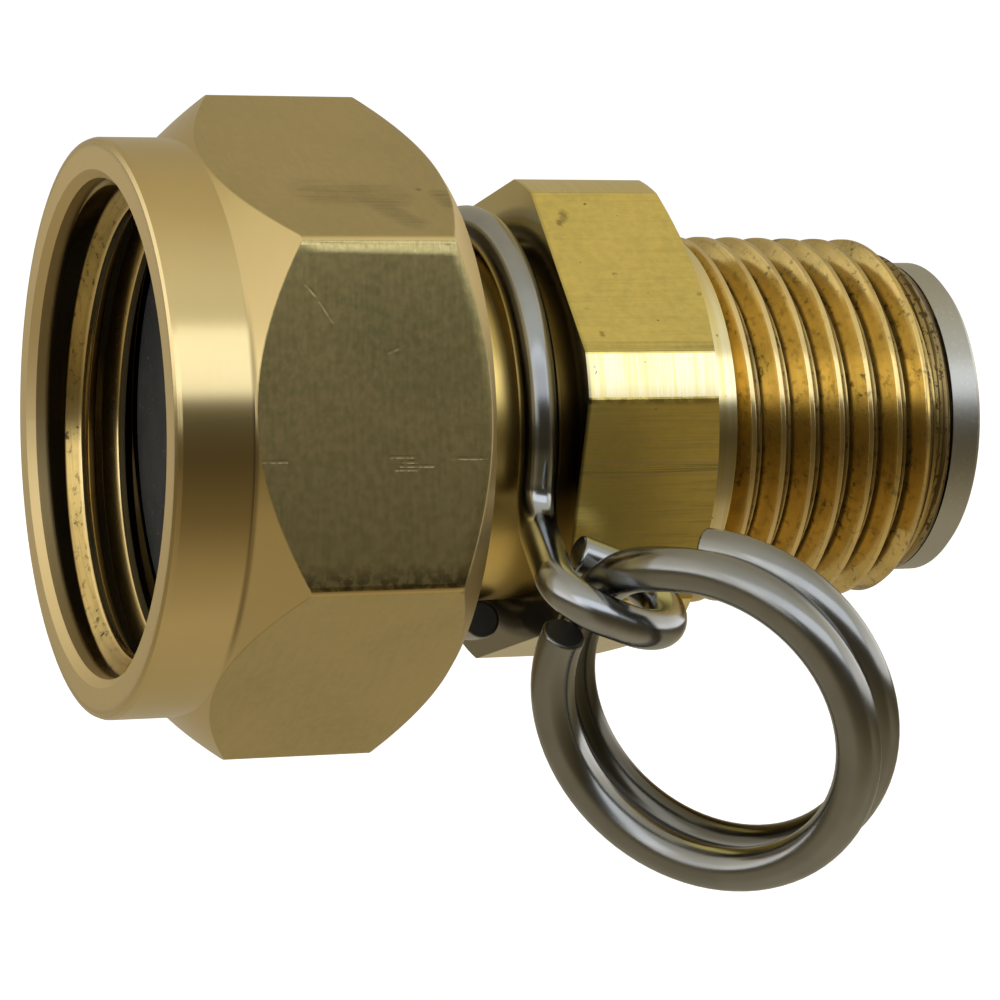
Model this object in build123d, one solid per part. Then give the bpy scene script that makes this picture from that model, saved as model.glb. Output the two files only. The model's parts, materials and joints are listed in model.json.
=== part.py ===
from build123d import *
import os
from math import cos, pi, radians, sin, sqrt

# Brass swivel hose adapter: a hex swivel nut with a female garden-hose thread turns on a flanged
# stem, the stem is pressed into a hex body with a male pipe thread, a flanged stainless insert
# lines the outlet, and a stainless wire hook round the stem's neck carries a two-turn split ring.
# Both screw threads are held here as the plain surfaces at the roots of their ridges.
# Millimetres. The waterway runs along +X from the centre of the hose mouth, which is the origin.
# +Z is up. Angles about X turn from +Y towards +Z.

# ---- swivel nut -------------------------------------------------------------------------------
nut_flats = 31.9            # across the flats of the nut's hex
nut_corner_round = 0.7      # radius along the six corners
nut_turn = -4.3             # degrees about X from a flat facing -Y
nut_length = 17.6
collar_d = 31.7             # round collar at the mouth
collar_length = 4.2
collar_edge_round = 0.35
cone_length = 2.75          # turned cone from the collar up to the hex corners
nut_rear_d = 30.9           # rear face, inside the rear chamfer
nut_rear_chamfer = 2.2      # its length along the axis
mouth_chamfer = 0.45
hose_bore_d = 27.3          # the 3/4-11.5 NH hose thread's ridge stands inside this
hose_bore_end = 6.2         # the washer's seat, measured from the mouth

# ---- hose washer ------------------------------------------------------------------------------
washer_d = 25.6
washer_bore = 14.0
washer_thickness = 3.15
washer_edge = 0.25
washer_gap = 0.05           # to the stem's flange
recess_clearance = 0.3      # radial, round the washer or the stem's flange, whichever is wider

# ---- inlet stem -------------------------------------------------------------------------------
waterway_d = 12.7
flange_d = 23.6
flange_thickness = 2.6
nut_play = 0.3              # along the axis, between the flange and the nut's shoulder
neck_d = 20.0
swivel_clearance = 0.1      # radial, between the neck and the nut
neck_gap = 5.9              # length of neck showing between the nut and the hex body
spigot_d = 17.0
spigot_length = 7.0
press_clearance = 0.01      # radial, as modelled, at the pressed seats
stem_inlet_round = 0.8

# ---- stem seal --------------------------------------------------------------------------------
seal_height = 1.4           # squeezed, radially
seal_width = 2.0            # squeezed, along the axis
seal_setback = 1.6          # from the spigot's end to the seal's groove
seal_side_clearance = 0.2

# ---- hex body ---------------------------------------------------------------------------------
body_flats = 25.4
body_corner_d = 27.95       # the corners are turned down to this
body_hex_length = 8.33
body_turn = 17.5            # degrees about X from a flat facing -Y
body_rear_d = 24.6          # the hex's chamfered rear face
body_rear_chamfer = 0.75
shoulder_d = 21.2           # plain round shoulder ahead of the pipe thread
shoulder_length = 1.87
spigot_end_gap = 0.2        # behind the spigot in its bore

# ---- outlet, for the 1/2-14 pipe thread --------------------------------------------------------
outlet_root_d = 18.8        # at the shoulder; the thread's ridge stands on this core
outlet_taper = 0.0156       # radius lost per length
outlet_length = 14.2
outlet_end_d = 17.2         # end face, inside the end chamfer
outlet_end_chamfer = 0.9    # its length along the axis

# ---- outlet insert ----------------------------------------------------------------------------
insert_flange_d = 18.0
insert_flange_thickness = 1.85
insert_sleeve_d = 14.4
insert_sleeve_length = 8.0
insert_bore = 10.0
insert_edge = 0.3

# ---- wire hook --------------------------------------------------------------------------------
hook_wire_d = 2.15
hook_neck_clearance = 0.1   # radial, round the neck
hook_body_gap = 0.7         # along the axis, between the hook and the hex body
hook_turn = -3.3            # degrees about X from the hook's leg facing -Y
hook_cut_angle = -80.0      # degrees below the leg side, where the wire's cut end lies
hook_leg_angle = -15.0      # degrees, where the leg leaves the loop
hook_leg_run = 2.6          # straight on from the loop to the corner of the leg's bend
hook_leg_bend = 2.6         # bend radii on the wire's centre line
hook_heel_bend = 2.6
hook_heel_lean = 2.1        # the heel's corner lies this far nearer the nut than the loop
eye_corner_clearance = 0.72 # between the eye's tip and the circle of the hex's corners
eye_gap = 3.83              # opening of the eye, across the ring's wire
eye_slope = 21.0            # degrees, fall of the eye's two legs along the axis
eye_roll = 31.9             # degrees, roll of the eye's opening about its legs
eye_reach = 2.02            # from the loop's plane to the middle of the eye's bend
eye_drop = 9.37             # the eye's middle below the axis
eye_tip_length = 1.9        # straight wire from the eye's bend to the cut tip
eye_bend_share = 0.98       # the two quarter bends' radius over half the legs' spacing
wire_end_round = 0.2

# ---- split ring -------------------------------------------------------------------------------
ring_wire_d = 2.36
ring_d = 17.4               # on the wire's centre line
ring_coil_gap = 0.17        # between the two turns
ring_normal = (0.712, 0.586, 0.386)  # across the turns, before the hook's turn about X
ring_hang = (0.632, -0.298, -0.715)  # from the eye to the ring's centre, likewise
ring_in_eye = 0.9           # from the middle of the eye's bend to the ring's wire
ring_off_middle = 0.12      # the wire lies this far towards the eye's inner leg
ring_cut_below = 14.7       # degrees from the eye to the front turn's cut end
ring_cut_above = 44.5       # degrees from the eye to the back turn's cut end

# ---- places along the axis --------------------------------------------------------------------
flange_x = hose_bore_end + washer_thickness + washer_gap
flange_rear_x = flange_x + flange_thickness
nut_shoulder_x = flange_rear_x + nut_play
body_x = nut_length + neck_gap
spigot_end_x = body_x + spigot_length
shoulder_x = body_x + body_hex_length
outlet_x = shoulder_x + shoulder_length
body_end_x = outlet_x + outlet_length
insert_x = body_end_x - insert_sleeve_length
recess_d = max(washer_d, flange_d) + 2 * recess_clearance
hook_x = body_x - hook_body_gap - hook_wire_d / 2


def turned(*outline):
    """A solid turned about the X axis from an outline of (x, radius) points."""
    return revolve(make_face(Polyline(*outline, close=True)), Axis.X)


def tube(x_start, x_end, outer_d, inner_d=0.0):
    """A plain round bar or ring about the X axis."""
    inner, outer = inner_d / 2, outer_d / 2
    return turned((x_start, inner), (x_end, inner), (x_end, outer), (x_start, outer))


def hex_bar(flats, x_start, x_end, turn, corner_round=0.0):
    """A hex bar along X with a flat facing -Y, turned about X."""
    outline = RegularPolygon(flats / 2, 6, major_radius=False, rotation=30)
    if corner_round:
        outline = fillet(outline.vertices(), corner_round)
    return extrude(Plane.YZ.offset(x_start) * outline, x_end - x_start).rotate(Axis.X, turn)


def wire_along(path, wire_d):
    """Round wire along a path, its two cut ends slightly rounded."""
    wire = sweep(Plane(origin=path @ 0, z_dir=path % 0) * Circle(wire_d / 2), path=path)
    ends = [face for face in wire.faces() if face.geom_type == GeomType.PLANE]
    return fillet([edge for face in ends for edge in face.edges()], wire_end_round)


def make_swivel_nut():
    """Hex nut turned down to a round collar, with the hose bore, washer recess and shoulder."""
    collar_r, rear_r = collar_d / 2, nut_rear_d / 2
    corner_r = (nut_flats / 2 - nut_corner_round) / cos(pi / 6) + nut_corner_round
    envelope = turned(
        (0, 0),
        (0, collar_r - collar_edge_round),
        (collar_edge_round * (1 - sin(pi / 4)), collar_r - collar_edge_round * (1 - sin(pi / 4))),
        (collar_edge_round, collar_r),
        (collar_length, collar_r),
        (collar_length + cone_length, corner_r),
        (nut_length - nut_rear_chamfer, corner_r),
        (nut_length, rear_r),
        (nut_length, 0),
    )
    blank = hex_bar(nut_flats, 0, nut_length, nut_turn, nut_corner_round) & envelope
    blank += tube(collar_edge_round, collar_length, collar_d)
    bore = turned(
        (-1, 0),
        (-1, hose_bore_d / 2 + mouth_chamfer + 1),
        (mouth_chamfer, hose_bore_d / 2),
        (hose_bore_end, hose_bore_d / 2),
        (hose_bore_end, recess_d / 2),
        (nut_shoulder_x, recess_d / 2),
        (nut_shoulder_x, neck_d / 2 + swivel_clearance),
        (nut_length + 1, neck_d / 2 + swivel_clearance),
        (nut_length + 1, 0),
    )
    return blank - bore


def make_hose_washer():
    """Flat rubber washer with softened edges."""
    washer = tube(hose_bore_end, hose_bore_end + washer_thickness, washer_d, washer_bore)
    return fillet(washer.edges().filter_by(GeomType.CIRCLE), washer_edge)


def make_inlet_stem():
    """Flanged stem: the nut turns on its neck and its grooved spigot is pressed into the body."""
    bore_r, neck_r, spigot_r = waterway_d / 2, neck_d / 2, spigot_d / 2
    groove_end = spigot_end_x - seal_setback
    groove_start = groove_end - seal_width - 2 * seal_side_clearance
    groove_r = spigot_r - seal_height
    blank = turned(
        (flange_x, bore_r),
        (flange_x, flange_d / 2),
        (flange_rear_x, flange_d / 2),
        (flange_rear_x, neck_r),
        (body_x, neck_r),
        (body_x, spigot_r),
        (groove_start, spigot_r),
        (groove_start, groove_r),
        (groove_end, groove_r),
        (groove_end, spigot_r),
        (spigot_end_x, spigot_r),
        (spigot_end_x, bore_r),
    )
    inlet_edge = blank.edges().filter_by(GeomType.CIRCLE).sort_by(Axis.X)[0:2].sort_by(SortBy.RADIUS)[0]
    return fillet(inlet_edge, stem_inlet_round)


def make_stem_seal():
    """O-ring squeezed between the spigot's groove and the body's bore."""
    outer_d = spigot_d
    inner_d = outer_d - 2 * seal_height + 2 * press_clearance
    start = spigot_end_x - seal_setback - seal_side_clearance - seal_width
    ring = tube(start, start + seal_width, outer_d, inner_d)
    return fillet(ring.edges().filter_by(GeomType.CIRCLE), seal_height / 3)


def make_hex_body():
    """Hex body with the stem's bore at one end and the threaded outlet at the other."""
    corner_r, root_r = body_corner_d / 2, outlet_root_d / 2
    envelope = turned(
        (body_x, 0),
        (body_x, corner_r),
        (shoulder_x - body_rear_chamfer, corner_r),
        (shoulder_x, body_rear_d / 2),
        (shoulder_x, 0),
    )
    chamfer_x = body_end_x - outlet_end_chamfer
    outlet = turned(
        (shoulder_x - 1, 0),
        (shoulder_x - 1, shoulder_d / 2),
        (outlet_x, shoulder_d / 2),
        (outlet_x, root_r),
        (chamfer_x, root_r - outlet_taper * (chamfer_x - outlet_x)),
        (body_end_x, outlet_end_d / 2),
        (body_end_x, 0),
    )
    blank = (hex_bar(body_flats, body_x, shoulder_x, body_turn) & envelope) + outlet
    blank -= tube(body_x - 1, spigot_end_x + spigot_end_gap, spigot_d + 2 * press_clearance)
    blank -= tube(body_x, body_end_x, waterway_d)
    return blank - tube(insert_x, body_end_x + 1, insert_sleeve_d + 2 * press_clearance)


def make_outlet_insert():
    """Flanged sleeve pressed into the outlet, its flange proud of the thread's end."""
    end_x = body_end_x + insert_flange_thickness
    flange_r, sleeve_r, bore_r = insert_flange_d / 2, insert_sleeve_d / 2, insert_bore / 2
    return turned(
        (insert_x + press_clearance, bore_r),
        (insert_x + press_clearance, sleeve_r),
        (body_end_x, sleeve_r),
        (body_end_x, flange_r),
        (end_x - insert_edge, flange_r),
        (end_x, flange_r - insert_edge),
        (end_x, bore_r + insert_edge),
        (end_x - insert_edge, bore_r),
    )


def eye_frame():
    """The eye's middle, the way its legs run and the way from its inner to its outer leg."""
    slope, roll = radians(eye_slope), radians(eye_roll)
    along = Vector(cos(slope), 0, -sin(slope))
    across = Vector(-sin(roll) * sin(slope), -cos(roll), -sin(roll) * cos(slope))
    half = (eye_gap + hook_wire_d) / 2
    tip_up = -eye_drop + eye_tip_length * sin(slope) + half * sin(roll) * cos(slope)
    tip_r = body_corner_d / 2 + eye_corner_clearance + hook_wire_d / 2
    out = sqrt(tip_r**2 - tip_up**2) + half * cos(roll)
    return Vector(hook_x + eye_reach, -out, -eye_drop), along, across, half


def hook_path():
    """The hook's centre line: round the neck, out along the leg and round the eye to its tip."""
    loop_r = neck_d / 2 + hook_neck_clearance + hook_wire_d / 2
    middle, along, across, half = eye_frame()

    def on_loop(angle):
        return Vector(hook_x, -loop_r * cos(radians(angle)), loop_r * sin(radians(angle)))

    leaving = Vector(0, -sin(radians(hook_leg_angle)), -cos(radians(hook_leg_angle)))
    leg_start = on_loop(hook_leg_angle)
    heel_run = (middle.X + half * across.X - hook_x + hook_heel_lean) / along.X
    bend_r = half * eye_bend_share
    leg = FilletPolyline(
        leg_start,
        leg_start + leaving * hook_leg_run,
        middle + across * half - along * heel_run,
        middle + across * half + along * half,
        middle - across * half + along * half,
        middle - across * half - along * eye_tip_length,
        radius=[hook_leg_bend, hook_heel_bend, bend_r, bend_r],
    )
    far_side = (hook_cut_angle + 360 + hook_leg_angle) / 2
    loop = ThreePointArc(on_loop(hook_cut_angle), on_loop(far_side), leg_start)
    return Wire([loop, *leg.edges()])


def make_hook_wire():
    """Wire sprung round the neck, its leg bent out and round into an open eye."""
    return wire_along(hook_path(), hook_wire_d).rotate(Axis.X, hook_turn)


def ring_path():
    """The split ring's centre line about local +Z, and its jog between the turns."""
    radius, half_pitch = ring_d / 2, (ring_wire_d + ring_coil_gap) / 2

    def at(angle, height):
        return Vector(radius * cos(radians(angle)), radius * sin(radians(angle)), height)

    def heading(angle):
        return Vector(sin(radians(angle)), -cos(radians(angle)), 0)

    front_start, front_end = -ring_cut_below, ring_cut_above - 360
    back_start, back_end = front_start - 360, front_end - 360
    jog_climb = {0: -1, 1 / 4: -2 / 3, 1 / 2: 0, 3 / 4: 2 / 3, 1: 1}
    jog_turn = back_start - front_end
    jog = Spline(
        *(at(front_end + share * jog_turn, climb * half_pitch) for share, climb in jog_climb.items()),
        tangents=(heading(front_end), heading(back_start)),
    )
    front = ThreePointArc(
        at(front_start, -half_pitch),
        at((front_start + front_end) / 2, -half_pitch),
        at(front_end, -half_pitch),
    )
    back = ThreePointArc(
        at(back_start, half_pitch),
        at((back_start + back_end) / 2, half_pitch),
        at(back_end, half_pitch),
    )
    return Wire([front, jog, back]), jog


def ring_place():
    """Where the ring hangs in the eye: its frame, and the swing axis through its wire there."""
    middle, along, across, _ = eye_frame()
    in_eye = middle - along * ring_in_eye - across * ring_off_middle
    _, jog = ring_path()
    share = ring_cut_above / (ring_cut_above + ring_cut_below)
    tilt = Plane(origin=(0, 0, 0), x_dir=Vector(*ring_hang) * -1, z_dir=ring_normal)
    frame = Plane(origin=in_eye - tilt.from_local_coords(jog @ share), x_dir=tilt.x_dir, z_dir=tilt.z_dir)
    return frame, in_eye, tilt.from_local_coords(jog % share)


def make_split_ring():
    """Two-turn split ring, hung in the eye by the jog between its turns."""
    path, _ = ring_path()
    frame, _, _ = ring_place()
    return (frame * wire_along(path, ring_wire_d)).rotate(Axis.X, hook_turn)


pieces = {
    "swivel_nut": make_swivel_nut,
    "hose_washer": make_hose_washer,
    "inlet_stem": make_inlet_stem,
    "stem_seal": make_stem_seal,
    "hex_body": make_hex_body,
    "outlet_insert": make_outlet_insert,
    "hook_wire": make_hook_wire,
    "split_ring": make_split_ring,
}

os.makedirs("parts", exist_ok=True)
for name, make in pieces.items():
    export_step(make(), f"parts/{name}.step")
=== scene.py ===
"""Threads, metals, rubber and studio of a brass swivel hose adapter.

The file is laid out as an add-on, with an operator for each piece or group of pieces, and is run
as a script. Lengths are in metres. The waterway runs along +X from the hose mouth, which is at the
origin, and +Z is up. Angles about X turn from +Y towards +Z.
"""

import json
from functools import reduce
from math import cos, pi, radians, sin

import bpy
from bpy.props import FloatProperty, FloatVectorProperty, PointerProperty
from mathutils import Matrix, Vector


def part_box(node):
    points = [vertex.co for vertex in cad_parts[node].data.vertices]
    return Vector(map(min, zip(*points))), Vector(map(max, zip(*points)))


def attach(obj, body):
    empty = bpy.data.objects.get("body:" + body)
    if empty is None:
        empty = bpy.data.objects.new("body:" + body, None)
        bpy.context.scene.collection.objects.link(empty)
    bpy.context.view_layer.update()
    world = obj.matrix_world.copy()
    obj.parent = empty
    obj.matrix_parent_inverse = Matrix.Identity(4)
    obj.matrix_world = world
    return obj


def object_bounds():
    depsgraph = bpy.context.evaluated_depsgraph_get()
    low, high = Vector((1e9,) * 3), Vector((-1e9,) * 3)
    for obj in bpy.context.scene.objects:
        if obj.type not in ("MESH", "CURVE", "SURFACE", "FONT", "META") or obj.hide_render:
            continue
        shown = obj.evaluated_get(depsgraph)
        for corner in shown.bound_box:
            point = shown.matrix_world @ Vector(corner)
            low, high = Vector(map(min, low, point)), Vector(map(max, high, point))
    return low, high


bl_info = {
    "name": "Swivel Hose Adapter",
    "version": (1, 0, 0),
    "blender": (4, 5, 0),
    "location": "View3D > Sidebar > Hose Adapter",
    "description": "Cuts the two threads, finishes every piece and sets up the studio",
    "category": "Object",
}

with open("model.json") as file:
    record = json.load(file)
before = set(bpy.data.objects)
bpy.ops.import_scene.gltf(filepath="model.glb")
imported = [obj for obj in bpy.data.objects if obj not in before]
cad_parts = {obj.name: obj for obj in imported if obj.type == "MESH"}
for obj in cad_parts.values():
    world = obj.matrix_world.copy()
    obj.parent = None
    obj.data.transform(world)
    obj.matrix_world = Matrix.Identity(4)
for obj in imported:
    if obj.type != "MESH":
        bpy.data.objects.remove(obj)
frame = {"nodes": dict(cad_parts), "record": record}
CAD_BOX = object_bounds()
MM = 0.001
MOUNTS = {mount["name"]: mount for mount in frame["record"]["mounts"]}


def mount_radius(name):
    """Radius of a mount's round wall."""
    return MOUNTS[name]["dims"]["r_mm"] * MM


def mm(*lengths):
    """Millimetres in metres."""
    return tuple(one * MM for one in lengths)


def put(name, data):
    """Adds an object to the scene."""
    item = bpy.data.objects.new(name, data)
    bpy.context.scene.collection.objects.link(item)
    return item


# ---- settings ----


def length(name, description, millimetres):
    """A length setting, given in millimetres and kept in metres."""
    return FloatProperty(
        name=name,
        description=description,
        default=millimetres * MM,
        min=0.0,
        precision=5,
        subtype="DISTANCE",
        unit="LENGTH",
    )


def bearing(name, description, degrees):
    """An angle setting, given in degrees and kept in radians."""
    return FloatProperty(
        name=name, description=description, default=radians(degrees), subtype="ANGLE"
    )


def share(name, description, default):
    """A setting from 0 to 1."""
    return FloatProperty(
        name=name, description=description, default=default, min=0.0, max=1.0, subtype="FACTOR"
    )


def colour(name, description, default):
    """A colour setting."""
    return FloatVectorProperty(
        name=name,
        description=description,
        default=default,
        min=0.0,
        max=1.0,
        size=3,
        subtype="COLOR",
    )


class OutletThreadSizes(bpy.types.PropertyGroup):
    """Sizes of the tapered male pipe thread on the outlet."""

    pitch: length("Pitch", "Distance from crest to crest", 25.4 / 14)
    depth: length("Depth", "Height of the ridge over its root", 1.15)
    crest: length("Crest Width", "Flat along the top of the ridge", 0.26)
    root_gap: length("Root Gap", "Width left open between two ridges at the root", 0.08)
    root_lift: length("Root Lift", "How far the root lies outside the core", 0.0)
    root_radius: length("Root Radius", "Radius of the core at the shoulder", 9.4)
    taper: share("Taper", "Radius lost per length", 0.0156)
    travel: length("Travel", "Length of the thread along the axis", 15.6)
    chamfer_start: length("Chamfer Start", "From the shoulder to the end chamfer", 11.6)
    chamfer_slope: share("Chamfer Slope", "Radius lost per length on the end chamfer", 0.62)
    start_angle: bearing("Start Angle", "Where the ridge starts", -79)


class HoseThreadSizes(bpy.types.PropertyGroup):
    """Sizes of the female hose thread in the swivel nut."""

    pitch: length("Pitch", "Distance from crest to crest", 25.4 / 11.5)
    depth: length("Depth", "Height of the ridge over its root", 0.98)
    crest: length("Crest Width", "Flat along the top of the ridge", 0.42)
    root_gap: length("Root Gap", "Width left open between two ridges at the root", 0.14)
    lead: length("Lead", "Plain bore before the thread starts", 1.15)
    run_out: length("Run Out", "Axial travel over which the ridge rises at the mouth", 0.6)
    start_angle: bearing("Start Angle", "Where the ridge starts", 136)


class BrassLook(bpy.types.PropertyGroup):
    """Colours and wear of the brass pieces."""

    nut: colour("Nut", "Satin gold of the swivel nut", (0.60, 0.47, 0.22))
    body: colour("Body", "Brighter yellow of the hex body", (0.70, 0.56, 0.17))
    cut: colour("Cut Thread", "Golden orange of freshly cut thread flanks", (0.72, 0.54, 0.21))
    turned: colour("Turned", "Pale bright turned corners of the hex body", (0.80, 0.74, 0.53))
    neck: colour("Neck", "Deeper gold of the stem", (0.88, 0.64, 0.21))
    crest: colour("Crest", "Pale rubbed thread crests", (0.72, 0.58, 0.33))
    film: colour("Film", "Olive film of handled, ageing brass", (0.215, 0.20, 0.08))
    # This colour serves real dirt and painted shade alike: the collar's shadow line, the nut's
    # bore, the hex body's rear face, thread roots and flanks, and the stem's foot.
    dirt_and_shade: colour("Dirt", "Dark dirt in roots and corners", (0.035, 0.02, 0.008))
    roughness: share("Roughness", "Roughness of turned brass", 0.18)
    film_amount: share("Film Amount", "How much olive film lies on the flats", 0.35)


class SteelLook(bpy.types.PropertyGroup):
    """Colours and roughness of the stainless pieces."""

    wire: colour("Wire", "Polished spring wire of the hook", (0.35, 0.365, 0.385))
    ring: colour("Ring", "Duller wire of the split ring", (0.28, 0.285, 0.285))
    sleeve: colour("Sleeve", "Matte turned outlet insert", (0.42, 0.42, 0.40))
    cut_end: colour("Cut End", "Sheared wire ends", (0.06, 0.058, 0.055))
    # Painted shade: this brown darkens the inside of the ring's back turn and dulls the hook's leg.
    painted_shade: colour("Tarnish", "Brown film where the wire isn't rubbed", (0.055, 0.047, 0.028))
    wire_roughness: share("Wire Roughness", "Roughness of the hook", 0.15)
    ring_roughness: share("Ring Roughness", "Roughness of the split ring", 0.165)
    sleeve_roughness: share("Sleeve Roughness", "Roughness of the insert", 0.27)


class RubberLook(bpy.types.PropertyGroup):
    """Colours of the rubber pieces."""

    washer: colour("Washer", "Dusty dark grey washer", (0.012, 0.0135, 0.0145))
    seal: colour("Seal", "Black O-ring", (0.008, 0.008, 0.008))
    speck: colour("Speck", "Pale dust and filler specks", (0.14, 0.15, 0.16))


class StudioSetup(bpy.types.PropertyGroup):
    """Floor and camera."""

    floor: colour("Floor", "Plain pale floor", (0.80, 0.82, 0.87))
    floor_depth: length("Floor Depth", "From the axis down to the floor, clear of the ring", 36.6)
    azimuth: bearing("Azimuth", "Camera's turn round the object", -21.4)
    elevation: bearing("Elevation", "Camera's height over the horizon", 3.5)
    distance: length("Distance", "From the camera to the point it looks at", 217.6)
    aim: FloatVectorProperty(
        name="Aim",
        description="Point looked at, from the middle of the whole object",
        default=mm(-4.31, -1.977, -0.895),
        size=3,
        subtype="TRANSLATION",
        unit="LENGTH",
    )
    lens: FloatProperty(
        name="Focal Length",
        description="Camera's focal length",
        default=144.0,
        min=1.0,
        unit="CAMERA",
    )


class AdapterSettings(bpy.types.PropertyGroup):
    """All settings of the hose adapter."""

    outlet_thread: PointerProperty(
        type=OutletThreadSizes, name="Outlet Thread", description="Sizes of the male pipe thread"
    )
    hose_thread: PointerProperty(
        type=HoseThreadSizes, name="Hose Thread", description="Sizes of the female hose thread"
    )
    brass: PointerProperty(type=BrassLook, name="Brass", description="Colours and wear of brass")
    steel: PointerProperty(type=SteelLook, name="Steel", description="Colours of stainless")
    rubber: PointerProperty(type=RubberLook, name="Rubber", description="Colours of the rubber")
    studio: PointerProperty(type=StudioSetup, name="Studio", description="Floor and camera")


# ---- node trees ----


def both_ways(operation):
    """A Python operator and its reflected form, each as one Math node."""

    def plain(link, other):
        return link.maths(operation, link, other)

    def reflected(link, other):
        return link.maths(operation, other, link)

    return plain, reflected


class Link:
    """A node's output that takes part in Python sums and products."""

    def __init__(self, nodes, socket):
        self.nodes = nodes
        self.socket = socket

    def maths(self, operation, *terms):
        """Adds a Math node on the terms."""
        return self.nodes.add("ShaderNodeMath", {"operation": operation}, dict(enumerate(terms)))

    __add__, __radd__ = both_ways("ADD")
    __sub__, __rsub__ = both_ways("SUBTRACT")
    __mul__, __rmul__ = both_ways("MULTIPLY")
    __truediv__, __rtruediv__ = both_ways("DIVIDE")

    def __abs__(self):
        return self.maths("ABSOLUTE", self)

    def root(self):
        """Square root."""
        return self.maths("SQRT", self)

    def least(self, other):
        """The lesser of the two."""
        return self.maths("MINIMUM", self, other)

    def greatest(self, other):
        """The greater of the two."""
        return self.maths("MAXIMUM", self, other)

    def clipped(self):
        """Held from 0 to 1."""
        return self.greatest(0.0).least(1.0)

    def ease(self, low, high):
        """0 below low, 1 above high and a smooth rise between. With low above high it falls."""
        terms = {"Value": self, "From Min": low, "From Max": high}
        return self.nodes.add("ShaderNodeMapRange", {"interpolation_type": "SMOOTHSTEP"}, terms)

    def between(self, low, rise, fall, high):
        """1 from rise to fall, 0 below low and above high, smooth in between."""
        return self.ease(low, rise) * self.ease(high, fall)


def greatest_of(links):
    """The greatest of several links."""
    return reduce(Link.greatest, links)


class Nodes:
    """A node tree that is built from Python expressions."""

    def __init__(self, tree):
        self.tree = tree

    def add(self, kind, settings=None, inputs=None, output=0):
        """Adds a node, sets it up, fills its sockets with values or links; returns an output."""
        node = self.tree.nodes.new(kind)
        for name, value in (settings or {}).items():
            if name == "stops":
                self.set_stops(node.color_ramp, value)
            else:
                setattr(node, name, value)
        for key, value in (inputs or {}).items():
            self.fill(node.inputs[key], value)
        return Link(self, node.outputs[output]) if node.outputs else node

    def fill(self, socket, value):
        """Links a socket or sets its own value."""
        if isinstance(value, Link):
            self.tree.links.new(value.socket, socket)
        else:
            socket.default_value = value

    def set_stops(self, ramp, stops):
        """Gives a colour ramp its stops."""
        while len(ramp.elements) < len(stops):
            ramp.elements.new(1.0)
        for element, (position, value) in zip(ramp.elements, stops):
            element.position = position
            element.color = value

    def split(self, vector):
        """The three parts of a vector."""
        node = self.add("ShaderNodeSeparateXYZ", None, {0: vector}).socket.node
        return [Link(self, node.outputs[axis]) for axis in range(3)]


def rgba(tone):
    """A colour with full cover."""
    return (*tone, 1.0)


def scaled(tone, factor):
    """A colour made lighter or darker."""
    return tuple(factor * part for part in tone)


# Where a hex's flats give way to what lies further in, from the flat.
FLAT_EDGE = mm(-0.06, -0.03)


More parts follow.
